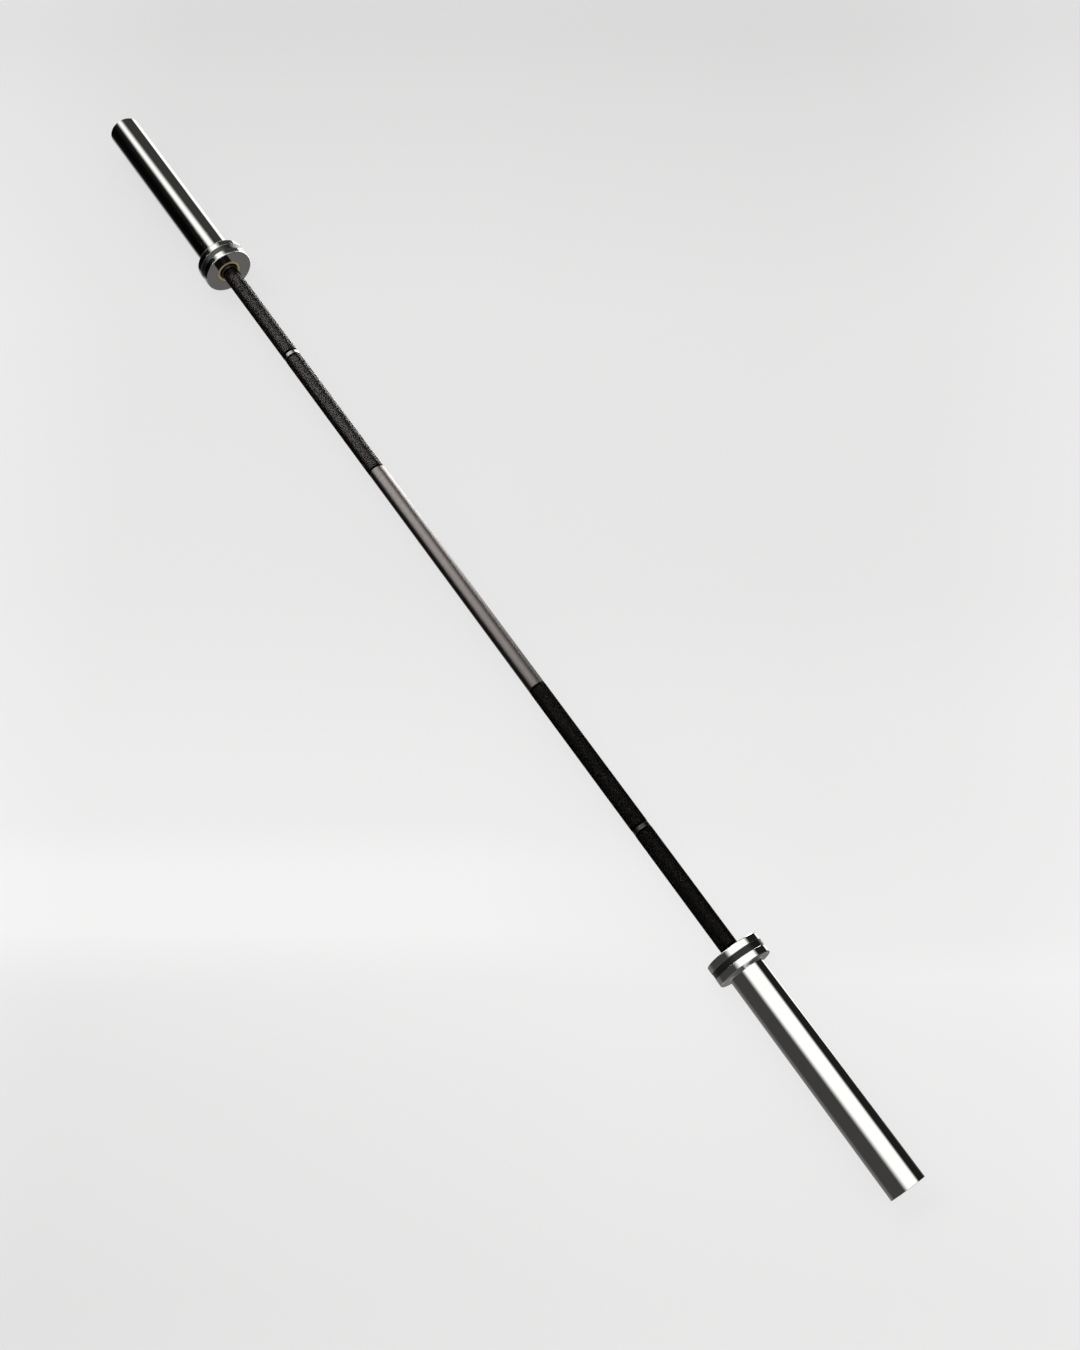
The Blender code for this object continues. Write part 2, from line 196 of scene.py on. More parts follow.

# The paper's own glow, which paints an uneven pool of light with soft bands on it: pairs of (distance,
# glow), and what a place across and along its soft bands adds
PAPER_GLOW = ((2.2, 0.795), (4.0, 0.61))
PAPER_ACROSS = (0.829, -0.559, 0.0)
PAPER_CREST = ((-1.1, -0.188), (-0.83, -0.144), (-0.5, -0.108), (0.0, -0.092), (0.25, -0.060),
               (0.36, -0.045), (0.42, -0.008), (0.51, -0.005), (0.58, -0.045), (0.70, -0.068),
               (0.95, -0.098))
PAPER_ALONG = (0.559, 0.829, 0.0)
PAPER_DIPS = (
    (
        ((0.20, 0.020), (0.36, 0.035), (0.42, 0.066), (0.51, 0.058), (0.57, 0.0)),
        ((0.05, 0.0), (0.50, -1.0)),
    ),
    (
        ((0.50, 0.0), (0.60, 0.040)),
        ((-0.45, -1.0), (0.20, 0.0)),
    ),
)
PAPER_SIDES = ((-0.77, 0.050), (-0.50, 0.005), (0.12, 0.003), (0.70, 0.018), (1.0, 0.060))
PAPER_UNEVEN = ((1.7, 1.0), (2.6, 0.0))

# The light tent: pairs of (lean along the bar, turn round it in degrees) or of (lean, power), and spans of
# lean, turn or height over which a light fades
WHITE = (1.0, 0.998, 0.962)
CREAM = (1.0, 0.985, 0.930)
AIR = (1.0, 0.975, 0.945)
BOX_FAR_END = (-0.92, -0.80)
BOX_NEAR_END = (0.04, 0.19)
BOX_LEFT_EDGE = ((-0.70, -36.5), (-0.625, -36.0), (-0.60, -66.0), (-0.54, -78.0),
                 (-0.30, -78.0), (-0.22, -60.0), (-0.15, -45.0), (-0.11, -44.5), (0.02, -39.5))
BOX_LEFT_FULL = ((-0.70, -10.0), (-0.625, -13.0), (-0.60, -36.0), (-0.54, -50.0),
                 (-0.30, -46.0), (-0.22, -30.0), (-0.15, -18.0), (-0.11, -17.0), (0.02, -8.0))
BOX_RIGHT_FULL = ((-0.70, -8.0), (-0.64, 1.5), (-0.625, 1.0), (-0.50, -8.0), (-0.30, -8.0), (-0.20, 20.0),
                  (-0.15, 47.0))
BOX_RIGHT_EDGE = ((-0.70, 22.0), (-0.625, 30.0), (-0.60, 50.0), (-0.50, 70.0), (-0.30, 72.0), (-0.15, 67.0))
BOX_POWER = ((-0.625, 1.24), (-0.60, 5.40), (-0.54, 5.60), (-0.49, 4.70), (-0.43, 1.80), (-0.37, 0.55),
             (-0.31, 0.15), (-0.25, 0.03), (-0.168, 0.03), (-0.158, 1.31))
REFLECTOR_EDGE = (-2.0, 3.0)
REFLECTOR_FOOT = (150.0, 158.0)
REFLECTOR_LIMIT = ((-0.70, 97.5), (-0.625, 97.5), (-0.60, 70.0), (-0.54, 70.0), (-0.49, 76.0),
                   (-0.43, 104.0), (-0.40, 122.0), (-0.35, 134.0), (-0.34, 112.0), (-0.11, 124.5),
                   (0.02, 154.0), (0.10, 172.0))
REFLECTOR_POWER = ((-0.625, 1.25), (-0.60, 11.0), (-0.54, 10.0), (-0.49, 6.50), (-0.43, 1.80),
                   (-0.37, 0.35), (-0.25, 0.35), (-0.168, 0.40), (-0.158, 1.25))
LEFT_AIR = ((-0.30, 0.001), (-0.14, 0.058))
RIGHT_AIR = ((-0.60, 0.047), (-0.12, 0.015))
AIR_SIDES = (-0.80, 0.10)
FLOOR_GLOW = 0.175
FLOOR_GLOW_LEAN = (-0.60, -0.12)
FLOOR_GLOW_DROP = (-0.54, -0.96)
END_AIR = 0.036
END_AIR_LEAN = (0.10, 0.26)

# Light past the bar's ends, seen in end faces and rounded edges: pairs of (turn, power), and spans
END_LIGHT = ((-164.0, 0.0), (-155.0, 0.26), (-145.0, 0.26), (-138.0, 0.04), (-20.0, 0.04), (-2.0, 0.80),
             (28.0, 0.80), (42.0, 0.04), (138.0, 0.04), (145.0, 0.26), (155.0, 0.26), (164.0, 0.0))
END_LIGHT_LEAN = (0.18, 0.32)
LEFT_FLOOR = 0.36
LEFT_FLOOR_TURN = (-160.0, -143.0)
LEFT_FLOOR_LEAN = (-0.30, -0.15)
FAR_PAPER = 0.6
FAR_PAPER_LEAN = (-0.97, -0.93)


def along(node):
    """Where a piece of the frame starts and ends along the bar."""
    low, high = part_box(node)
    return low.x, high.x


def open_for_edit(piece):
    """Pick one piece alone and go into edit mode."""
    bpy.ops.object.select_all(action="DESELECT")
    piece.select_set(True)
    bpy.context.view_layer.objects.active = piece
    bpy.ops.object.mode_set(mode="EDIT")


def close_edit():
    bpy.ops.object.mode_set(mode="OBJECT")


def radius_of(vertex):
    return math.hypot(vertex.co.y, vertex.co.z)


def runs_along(edge):
    """Whether an edge goes along the bar, and not round it or outwards."""
    first, second = edge.verts
    return abs(first.co.x - second.co.x) > TOUCH


def pick(piece, kind, wanted):
    """In edit mode, select just those of a piece's vertices, edges or faces that are wanted."""
    bpy.ops.mesh.select_mode(type=kind)
    bpy.ops.mesh.select_all(action="DESELECT")
    shape = bmesh.from_edit_mesh(piece.data)
    for element in {"VERT": shape.verts, "EDGE": shape.edges, "FACE": shape.faces}[kind]:
        if wanted(element):
            element.select_set(True)
    bmesh.update_edit_mesh(piece.data)


def pick_loops(piece, places):
    """In edit mode, select the edge loops that lie at these (along, radius) places."""

    def on_a_loop(edge):
        return not runs_along(edge) and any(
            abs(edge.verts[0].co.x - x) < TOUCH
            and all(abs(radius_of(vertex) - radius) < TOUCH for vertex in edge.verts)
            for x, radius in places
        )

    pick(piece, "EDGE", on_a_loop)


def turned(name, stations, on_axis=False, sides=SIDES):
    """Model a turned piece: a circle at its first station, extruded and resized to each next one.

    A station is (place along the bar, radius). The last station meets the first, or with on_axis both ends
    are closed on the axis.
    """
    x, radius = stations[0]
    bpy.ops.object.select_all(action="DESELECT")
    bpy.ops.mesh.primitive_circle_add(
        vertices=sides, radius=radius, location=(x, 0, 0), rotation=(0, math.pi / 2, 0)
    )
    piece = bpy.context.object
    piece.name = name
    bpy.ops.object.transform_apply(location=True, rotation=True, scale=True)
    bpy.ops.object.mode_set(mode="EDIT")
    for next_x, next_radius in stations[1:]:
        bpy.ops.mesh.extrude_region_move(TRANSFORM_OT_translate={"value": (next_x - x, 0, 0)})
        grow = next_radius / radius
        bpy.ops.transform.resize(value=(1, grow, grow), center_override=(0, 0, 0))
        x, radius = next_x, next_radius
    if on_axis:
        for end in (stations[-1], stations[0]):
            pick_loops(piece, [end])
            bpy.ops.mesh.extrude_region_move()
            bpy.ops.mesh.merge(type="CENTER")
    bpy.ops.mesh.select_all(action="SELECT")
    bpy.ops.mesh.remove_doubles(threshold=TOUCH / 10)
    bpy.ops.mesh.normals_make_consistent(inside=False)
    close_edit()
    return piece


def rounded(piece, places, width, steps=ROUND_STEPS):
    """Round the corners of a turned piece at these (along, radius) places."""
    open_for_edit(piece)
    pick_loops(piece, places)
    bpy.ops.mesh.bevel(offset=width, segments=steps, affect="EDGES", profile=0.5)
    close_edit()
    return piece


def smoothed(piece):
    """Smooth shading that keeps flat faces flat beside their rounded edges."""
    bpy.ops.object.select_all(action="DESELECT")
    piece.select_set(True)
    bpy.context.view_layer.objects.active = piece
    bpy.ops.object.shade_smooth_by_angle(angle=SMOOTH_ANGLE)
    weigh = piece.modifiers.new("flat_faces", "WEIGHTED_NORMAL")
    weigh.keep_sharp = True
    bpy.ops.object.modifier_apply(modifier=weigh.name)
    return piece


def turned_over(piece, name):
    """The same piece for the left-hand end: a copy turned half round the vertical of the bar's middle."""
    bpy.ops.object.select_all(action="DESELECT")
    piece.select_set(True)
    bpy.context.view_layer.objects.active = piece
    bpy.ops.object.duplicate()
    copy = bpy.context.object
    copy.name = name
    bpy.ops.transform.rotate(value=math.pi, orient_axis="Y", center_override=(0, 0, 0))
    bpy.ops.object.transform_apply(location=True, rotation=True, scale=True)
    return copy


def hand_over(piece, body, node, material):
    """Give a piece its finish, parent it to its body's empty, and hide the frame's node that it stands for.
    """
    smoothed(piece)
    piece.data.materials.clear()
    piece.data.materials.append(material)
    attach(piece, body)
    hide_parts(node)


def both_ends(piece, part, material, body=None):
    """Place a right-hand piece and its turned copy on the left."""
    left = turned_over(piece, "left_" + part + "_fine")
    hand_over(left, body or "left_end", "left_" + part, material)
    hand_over(piece, body or "right_end", "right_" + part, material)


def shaft_stations():
    """The bare shaft from tip to tip; under the knurled grips it is turned down to the core."""
    face = along("right_collar")[0]
    bushing_start = along("right_outer_bushing")[0]
    washer_start = along("right_inner_thrust_washer")[0]
    ring_start, ring_end = along("right_snap_ring")
    tip = along("shaft")[1]
    mark_end = MARK_START + MARK_WIDTH
    step = washer_start - END_FLOAT
    journal = bushing_start - 2 * SEAT_GAP
    right = [
        (PLAIN_HALF, SHAFT_R),
        (PLAIN_HALF + STEP_CHAMFER, CORE_R),
        (MARK_START - STEP_CHAMFER, CORE_R),
        (MARK_START, MARK_R),
        (mark_end, MARK_R),
        (mark_end + STEP_CHAMFER, CORE_R),
        (face - KNURL_STOP - STEP_CHAMFER, CORE_R),
        (face - KNURL_STOP, SHAFT_R),
        (face - SHOULDER_LENGTH, SHAFT_R),
        (face, JOURNAL_R - SHOULDER_ROUND / 2),
        (face + SHOULDER_ROUND, JOURNAL_R),
        (step - SHAFT_CHAMFER, JOURNAL_R),
        (step, JOURNAL_R - SHAFT_CHAMFER),
        (step, RELIEF_R),
        (journal - SHAFT_CHAMFER, RELIEF_R),
        (journal, SHAFT_R),
        (ring_start - SEAT_GAP, SHAFT_R),
        (ring_start - SEAT_GAP, SNAP_GROOVE_R),
        (ring_end + SEAT_GAP, SNAP_GROOVE_R),
        (ring_end + SEAT_GAP, SHAFT_R),
        (tip - TIP_CHAMFER, SHAFT_R),
        (tip, SHAFT_R - TIP_CHAMFER),
    ]
    left = [(-x, radius) for x, radius in reversed(right)]
    return left + right


def grip_spans():
    """Where the two knurled grips of the right-hand half start and end."""
    face = along("right_collar")[0]
    mark_end = MARK_START + MARK_WIDTH
    return {
        "inner_grip": (PLAIN_HALF + STEP_CHAMFER, MARK_START - STEP_CHAMFER),
        "outer_grip": (mark_end + STEP_CHAMFER, face - KNURL_STOP - STEP_CHAMFER),
    }


def knurled_grip(name, start, end):
    """A band of raised diamonds, cut less deep at its ends and closed over the core."""
    bpy.ops.object.select_all(action="DESELECT")
    bpy.ops.mesh.primitive_cylinder_add(
        vertices=DIAMONDS_ROUND,
        radius=KNURL_ROOT_R,
        depth=end - start,
        end_fill_type="NOTHING",
        location=((start + end) / 2, 0, 0),
        rotation=(0, math.pi / 2, 0),
    )
    grip = bpy.context.object
    grip.name = name
    bpy.ops.object.transform_apply(location=True, rotation=True, scale=True)
    bpy.ops.object.mode_set(mode="EDIT")
    rule_diamonds(grip, rows=round((end - start) / DIAMOND_LENGTH))
    raise_diamonds(grip)
    fade_knurl(grip, start, end)
    close_grip(grip)
    close_edit()
    return grip


def rule_diamonds(grip, rows):
    """Cut the band into a grid, poke every cell and dissolve the grid's edges, which leaves diamonds."""
    pick(grip, "EDGE", runs_along)
    bpy.ops.mesh.subdivide(number_cuts=rows - 1)
    grid_count = len(bmesh.from_edit_mesh(grip.data).verts)
    bpy.ops.mesh.select_all(action="SELECT")
    bpy.ops.mesh.poke()

    def inside_grid(edge):
        return len(edge.link_faces) == 2 and all(vertex.index < grid_count for vertex in edge.verts)

    pick(grip, "EDGE", inside_grid)
    bpy.ops.mesh.dissolve_edges(use_verts=False)


def raise_diamonds(grip):
    """Bring the poked corners out to the root circle, then inset and raise each diamond by itself."""
    pick(grip, "VERT", lambda vertex: radius_of(vertex) < KNURL_ROOT_R - TOUCH)
    out = 1 / math.cos(math.pi / DIAMONDS_ROUND)
    bpy.ops.transform.resize(value=(1, out, out), center_override=(0, 0, 0))
    pick(grip, "FACE", lambda face: len(face.verts) == 4)
    bpy.ops.mesh.inset(use_individual=True, thickness=DIAMOND_INSET, depth=DIAMOND_HEIGHT)


def fade_knurl(grip, start, end):
    """The last diamonds at each end of a grip are cut less deep, so their lands stand lower."""

    def land_near_end(vertex):
        near_end = min(vertex.co.x - start, end - vertex.co.x) < FADE_LENGTH
        return near_end and radius_of(vertex) > KNURL_ROOT_R + DIAMOND_HEIGHT / 2

    pick(grip, "VERT", land_near_end)
    low = (KNURL_ROOT_R + DIAMOND_HEIGHT * FADED_SHARE) / (KNURL_ROOT_R + DIAMOND_HEIGHT)
    bpy.ops.transform.resize(value=(1, low, low), center_override=(0, 0, 0))


def close_grip(grip):
    """Carry both open ends of a grip down to the core, and join them by its bore."""
    bpy.ops.mesh.select_mode(type="EDGE")
    bpy.ops.mesh.select_all(action="DESELECT")
    bpy.ops.mesh.select_non_manifold()
    bpy.ops.mesh.extrude_region_move()
    down = CORE_R / KNURL_ROOT_R
    bpy.ops.transform.resize(value=(1, down, down), center_override=(0, 0, 0))
    bpy.ops.mesh.bridge_edge_loops()
    bpy.ops.mesh.select_all(action="SELECT")
    bpy.ops.mesh.normals_make_consistent(inside=False)


def collar():
    """Two flanges, the band's groove, the lip over the tube's end and the fillet at the root."""
    face, root_end = along("right_collar")
    collar_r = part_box("right_collar")[1].z
    groove_r = collar_r - GROOVE_DEPTH
    groove_in = face + INNER_FLANGE
    back = face + COLLAR_WIDTH
    groove_out = back - OUTER_FLANGE
    bore_r = SLEEVE_R + ROOT_STEP / 2
    root_r = SLEEVE_R + ROOT_STEP
    piece = turned(
        "right_collar_fine",
        [
            (face, SEAT_R),
            (face, collar_r),
            (groove_in, collar_r),
            (groove_in, groove_r),
            (groove_out, groove_r),
            (groove_out, collar_r),
            (back, collar_r),
            (back, root_r),
            (root_end, root_r),
            (root_end, bore_r),
            (face + COLLAR_LIP, bore_r),
            (face + COLLAR_LIP, SEAT_R),
            (face, SEAT_R),
        ],
    )
    rounded(piece, [(back, root_r)], ROOT_FILLET, 2 * ROUND_STEPS)
    rounded(piece, [(back, collar_r)], OUTER_EDGE_ROUND, 2 * ROUND_STEPS)
    rounded(piece, [(face, collar_r)], INNER_EDGE_ROUND, 2 * ROUND_STEPS)
    rounded(piece, [(groove_in, collar_r), (groove_out, collar_r)], GROOVE_EDGE_ROUND)
    rounded(piece, [(face, SEAT_R)], FINE_CHAMFER, 2)
    return piece


def collar_band():
    """The inlaid band, a little below the flanges."""
    start, end = along("right_collar_band")
    collar_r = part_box("right_collar")[1].z
    inner_r = collar_r - GROOVE_DEPTH + SEAT_GAP
    outer_r = collar_r - BAND_RECESS
    return plain_ring("right_collar_band_fine", start, end, inner_r, outer_r, FINE_CHAMFER)


def plain_ring(name, start, end, inner_r, outer_r, edge_break):
    """A bushing, washer or band: a ring with its four corners broken."""
    piece = turned(
        name, [(start, inner_r), (start, outer_r), (end, outer_r), (end, inner_r), (start, inner_r)]
    )
    corners = [(x, radius) for x in (start, end) for radius in (inner_r, outer_r)]
    return rounded(piece, corners, edge_break, 2)


def sleeve():
    """The tube, with its bushing seats, the cap's seat, the retaining ring's groove and the mouth."""
    start, end = along("right_sleeve")
    washer_end = along("right_inner_thrust_washer")[1]
    bushing_start = along("right_outer_bushing")[0]
    cap_start, cap_end = along("right_end_cap")
    ring_end = along("right_retaining_ring")[1]
    piece = turned(
        "right_sleeve_fine",
        [
            (end, CAP_SEAT_R),
            (end, SLEEVE_R),
            (start, SLEEVE_R),
            (start, SEAT_R),
            (washer_end + SEAT_GAP, SEAT_R),
            (washer_end + SEAT_GAP, BORE_R),
            (bushing_start - SEAT_GAP, BORE_R),
            (bushing_start - SEAT_GAP, SEAT_R),
            (cap_start - SEAT_GAP, SEAT_R),
            (cap_start - SEAT_GAP, CAP_SEAT_R),
            (cap_end, CAP_SEAT_R),
            (cap_end, RING_GROOVE_R),
            (ring_end + SEAT_GAP, RING_GROOVE_R),
            (ring_end + SEAT_GAP, CAP_SEAT_R),
            (end, CAP_SEAT_R),
        ],
    )
    rounded(piece, [(end, SLEEVE_R), (start, SLEEVE_R), (end, CAP_SEAT_R)], SLEEVE_CHAMFER, 1)
    return piece


def end_cap():
    """The cap: a disc with a dished face, a raised rim and the O-ring's groove round its edge."""
    start, end = along("right_end_cap")
    dish_r = CAP_R - CAP_RIM_WIDTH
    middle = (start + end) / 2
    half_groove = O_RING_SECTION / 2 + SEAT_GAP
    groove_r = CAP_R - O_RING_SECTION - SEAT_GAP
    piece = turned(
        "right_end_cap_fine",
        [
            (end - CAP_DISH_DEPTH, dish_r / 2),
            (end - CAP_DISH_DEPTH, dish_r - CAP_DISH_SLOPE),
            (end, dish_r),
            (end, CAP_R),
            (middle + half_groove, CAP_R),
            (middle + half_groove, groove_r),
            (middle - half_groove, groove_r),
            (middle - half_groove, CAP_R),
            (start, CAP_R),
            (start, dish_r / 2),
        ],
        on_axis=True,
    )
    rounded(piece, [(end, CAP_R), (start, CAP_R)], CAP_CHAMFER, 2)
    rounded(piece, [(end, dish_r), (end - CAP_DISH_DEPTH, dish_r - CAP_DISH_SLOPE)], FINE_CHAMFER, 3)
    return piece


def cap_o_ring():
    """The cap's rubber ring, with the thin flash line that its mould leaves inside and outside."""
    start, end = along("right_cap_o_ring")
    bpy.ops.object.select_all(action="DESELECT")
    bpy.ops.mesh.primitive_torus_add(
        major_segments=SIDES,
        minor_segments=O_RING_SIDES,
        major_radius=CAP_R - O_RING_SECTION / 2,
        minor_radius=O_RING_SECTION / 2,
        location=((start + end) / 2, 0, 0),
        rotation=(0, math.pi / 2, 0),
    )
    piece = bpy.context.object
    piece.name = "right_cap_o_ring_fine"
    bpy.ops.object.transform_apply(location=True, rotation=True, scale=True)
    middle = (start + end) / 2
    open_for_edit(piece)
    for radius, grow in ((CAP_R, FLASH_HEIGHT), (CAP_R - O_RING_SECTION, -FLASH_HEIGHT)):
        pick_loops(piece, [(middle, radius)])
        bpy.ops.mesh.bevel(offset=FLASH_HEIGHT, segments=2, affect="EDGES", profile=0.5)
        scale = (radius + grow) / radius
        pick_loops(piece, [(middle, radius)])
        bpy.ops.transform.resize(value=(1, scale, scale), center_override=(0, 0, 0))
    close_edit()
    return piece


def angle_of(place):
    """Angle round the bar, from straight down."""
    return math.atan2(place.y, -place.z)


def circlip(name, node, seat_r, height, lug_side):
    """A flat spring ring with an opening and two drilled lugs: outside it, or inside with lug_side -1."""
    start, end = along(node)
    free_r = seat_r + lug_side * height
    tip_r = free_r + lug_side * LUG_HEIGHT
    outer_r, inner_r = max(seat_r, free_r), min(seat_r, free_r)
    stations = [(start, inner_r), (start, outer_r), (end, outer_r), (end, inner_r), (start, inner_r)]
    ring = turned(name, stations, sides=CIRCLIP_SIDES)
    open_for_edit(ring)
    cut_opening(ring)
    grow_lugs(ring, free_r, tip_r)
    round_lug_tips(ring, tip_r)
    bpy.ops.mesh.select_all(action="SELECT")
    bpy.ops.mesh.normals_make_consistent(inside=False)
    close_edit()
    hole_r = free_r + lug_side * LUG_HEIGHT / 3
    for side in (-1, 1):
        drill_lug(ring, hole_r, side * (HALF_OPENING + LUG_ANGLE / 2), start, end)
    return ring


def cut_opening(ring):
    """Take out the faces at the ring's opening and close both cut ends."""
    pick(ring, "FACE", lambda face: abs(angle_of(face.calc_center_median())) < HALF_OPENING)
    bpy.ops.mesh.delete(type="FACE")
    bpy.ops.mesh.select_all(action="SELECT")
    bpy.ops.mesh.fill_holes(sides=4)


def grow_lugs(ring, free_r, tip_r):
    """Extrude the free edge on both sides of the opening out to the lugs' tips."""

    def at_a_lug(face):
        on_free_edge = all(abs(radius_of(vertex) - free_r) < TOUCH for vertex in face.verts)
        return on_free_edge and HALF_OPENING < abs(angle_of(face.calc_center_median())) < LUG_END

    pick(ring, "FACE", at_a_lug)
    bpy.ops.mesh.extrude_region_move()
    grow = tip_r / free_r
    bpy.ops.transform.resize(value=(1, grow, grow), center_override=(0, 0, 0))


def round_lug_tips(ring, tip_r):
    """Round the two corners of each lug's tip."""

    def tip_corner(edge):
        corner = edge.verts[0]
        angle = abs(angle_of(corner.co))
        off_corner = min(abs(angle - HALF_OPENING), abs(angle - LUG_END))
        at_tip = abs(radius_of(corner) - tip_r) < TOUCH
        return runs_along(edge) and at_tip and off_corner < LUG_CORNER

    pick(ring, "EDGE", tip_corner)
    bpy.ops.mesh.bevel(offset=LUG_ROUND, segments=ROUND_STEPS, affect="EDGES", profile=0.5)


def drill_lug(ring, radius, angle, start, end):
    """Drill the hole that ring pliers hold."""
    place = ((start + end) / 2, radius * math.sin(angle), -radius * math.cos(angle))
    bpy.ops.object.select_all(action="DESELECT")
    bpy.ops.mesh.primitive_cylinder_add(
        vertices=LUG_HOLE_SIDES,
        radius=LUG_HOLE_R,
        depth=3 * (end - start),
        location=place,
        rotation=(0, math.pi / 2, 0),
    )
    drill = bpy.context.object
    cut = ring.modifiers.new("lug_hole", "BOOLEAN")
    cut.operation = "DIFFERENCE"
    cut.object = drill
    bpy.ops.object.select_all(action="DESELECT")
    ring.select_set(True)
    bpy.context.view_layer.objects.active = ring
    bpy.ops.object.modifier_apply(modifier=cut.name)
    bpy.data.objects.remove(drill, do_unlink=True)


def add_node(material, kind, inputs=None, **settings):
    """Add a shader node; inputs holds numbers, or outputs of other nodes to link."""
    tree = material.node_tree
    made = tree.nodes.new("ShaderNode" + kind)
    for key, value in settings.items():
        setattr(made, key, value)
    for key, value in (inputs or {}).items():
        if isinstance(value, bpy.types.NodeSocket):
            tree.links.new(value, made.inputs[key])
        else:
            made.inputs[key].default_value = value
    return made


def plus(material, first, second):
    return add_node(material, "Math", {0: first, 1: second}, operation="ADD").outputs["Value"]


def minus(material, first, second):
    return add_node(material, "Math", {0: first, 1: second}, operation="SUBTRACT").outputs["Value"]


def times(material, first, second):
    return add_node(material, "Math", {0: first, 1: second}, operation="MULTIPLY").outputs["Value"]


def spread(material, value, low, high, to_low=0.0, to_high=1.0):
    """Stretch a value's range low to high onto to_low to to_high."""
    inputs = {"Value": value, "From Min": low, "From Max": high, "To Min": to_low, "To Max": to_high}
    return add_node(material, "MapRange", inputs).outputs["Result"]


def step_between(material, value, low, high, to_low=0.0, to_high=1.0):
    """A smooth step from to_low to to_high as a value goes from low to high."""
    inputs = {"Value": value, "From Min": low, "From Max": high, "To Min": to_low, "To Max": to_high}
    return add_node(material, "MapRange", inputs, interpolation_type="SMOOTHSTEP").outputs["Result"]


def bent(material, value, points):
    """Follow straight lines from point to point; a point is (value, result)."""
    total = points[0][1]
    for (low, start), (high, end) in zip(points, points[1:]):
        total = plus(material, spread(material, value, low, high, 0.0, end - start), total)
    return total


def place_on_bar(material):
    """Sockets with the place along the bar, the place beside its axis and the distance from it."""
    place = add_node(material, "TexCoord").outputs["Object"]
    apart = add_node(material, "SeparateXYZ", {"Vector": place}).outputs
    across = add_node(material, "CombineXYZ", {"Y": apart["Y"], "Z": apart["Z"]}).outputs["Vector"]
    radius = add_node(material, "VectorMath", {0: across}, operation="LENGTH").outputs["Value"]
    return apart["X"], apart["Y"], radius


def lathe_lines(material, per_metre, detail=2.0, wander=0.012):
    """Fine lines that run round the bar, as turning and grinding leave them on rounds and on faces."""
    along_bar, beside, radius = place_on_bar(material)
    drift = times(material, beside, wander)
    drawn = add_node(material, "CombineXYZ", {"X": along_bar, "Y": radius, "Z": drift}).outputs["Vector"]
    inputs = {"Vector": drawn, "Scale": per_metre, "Detail": detail, "Roughness": LINE_HARSHNESS}
    return add_node(material, "TexNoise", inputs).outputs["Fac"]


def clouds(material, per_metre, detail, stretch=(1.0, 1.0, 1.0)):
    """Soft uneven patches, for handling marks and uneven colour."""
    place = add_node(material, "TexCoord").outputs["Object"]
    laid = add_node(material, "Mapping", {"Vector": place, "Scale": stretch}).outputs["Vector"]
    inputs = {"Vector": laid, "Scale": per_metre, "Detail": detail}
    return add_node(material, "TexNoise", inputs).outputs["Fac"]


def blend_colours(material, share, first, second):
    made = add_node(material, "Mix", {"Factor": share}, data_type="RGBA")
    tree = material.node_tree
    for socket, colour in ((made.inputs[6], first), (made.inputs[7], second)):
        if isinstance(colour, bpy.types.NodeSocket):
            tree.links.new(colour, socket)
        else:
            socket.default_value = (*colour, 1.0)
    return made.outputs[2]


def two_tones(material, pattern, tones, low=0.35, high=0.65):
    """Go from the first tone to the second where a pattern goes from low to high."""
    return blend_colours(material, spread(material, pattern, low, high), *tones)


def uneven_polish(material, pattern, smoothest, roughest):
    """A roughness that follows most of a pattern's range."""
    return spread(material, pattern, *MOST_OF_A_PATTERN, smoothest, roughest)


def new_finish(name, metallic):
    material = bpy.data.materials.new(name)
    material.use_nodes = True
    shader = material.node_tree.nodes["Principled BSDF"]
    shader.inputs["Metallic"].default_value = metallic
    return material, shader


def wire(material, shader, **sockets):
    """Link outputs to the shader's inputs by their names, with underscores for spaces."""
    for key, value in sockets.items():
        material.node_tree.links.new(value, shader.inputs[key.replace("_", " ")])


def relief(material, height, depth, under=None):
    """A bump of this depth in metres, over another one if given."""
    inputs = {"Height": height, "Distance": depth, "Strength": 1.0}
    if under is not None:
        inputs["Normal"] = under
    return add_node(material, "Bump", inputs).outputs["Normal"]


def chrome():
    """Hard chrome over a polished tube: faint grinding lines, hairline rubs from plates and soft smears."""
    material, shader = new_finish("chrome_finish", metallic=1.0)
    smears = clouds(material, per_metre=26, detail=5)
    rubs = clouds(material, per_metre=900, detail=2, stretch=RUB_STRETCH)
    lines = lathe_lines(material, per_metre=2600)
    colour = two_tones(material, smears, CHROME_TONES)
    polish = uneven_polish(material, smears, smoothest=0.025, roughest=0.060)
    rubbed = spread(material, rubs, 0.62, 0.75, 0.0, RUB_ROUGHNESS)
    rough = plus(material, polish, rubbed)
    wire(material, shader, Base_Color=colour, Roughness=rough, Normal=relief(material, lines, 0.4 * MICRON))
    return material


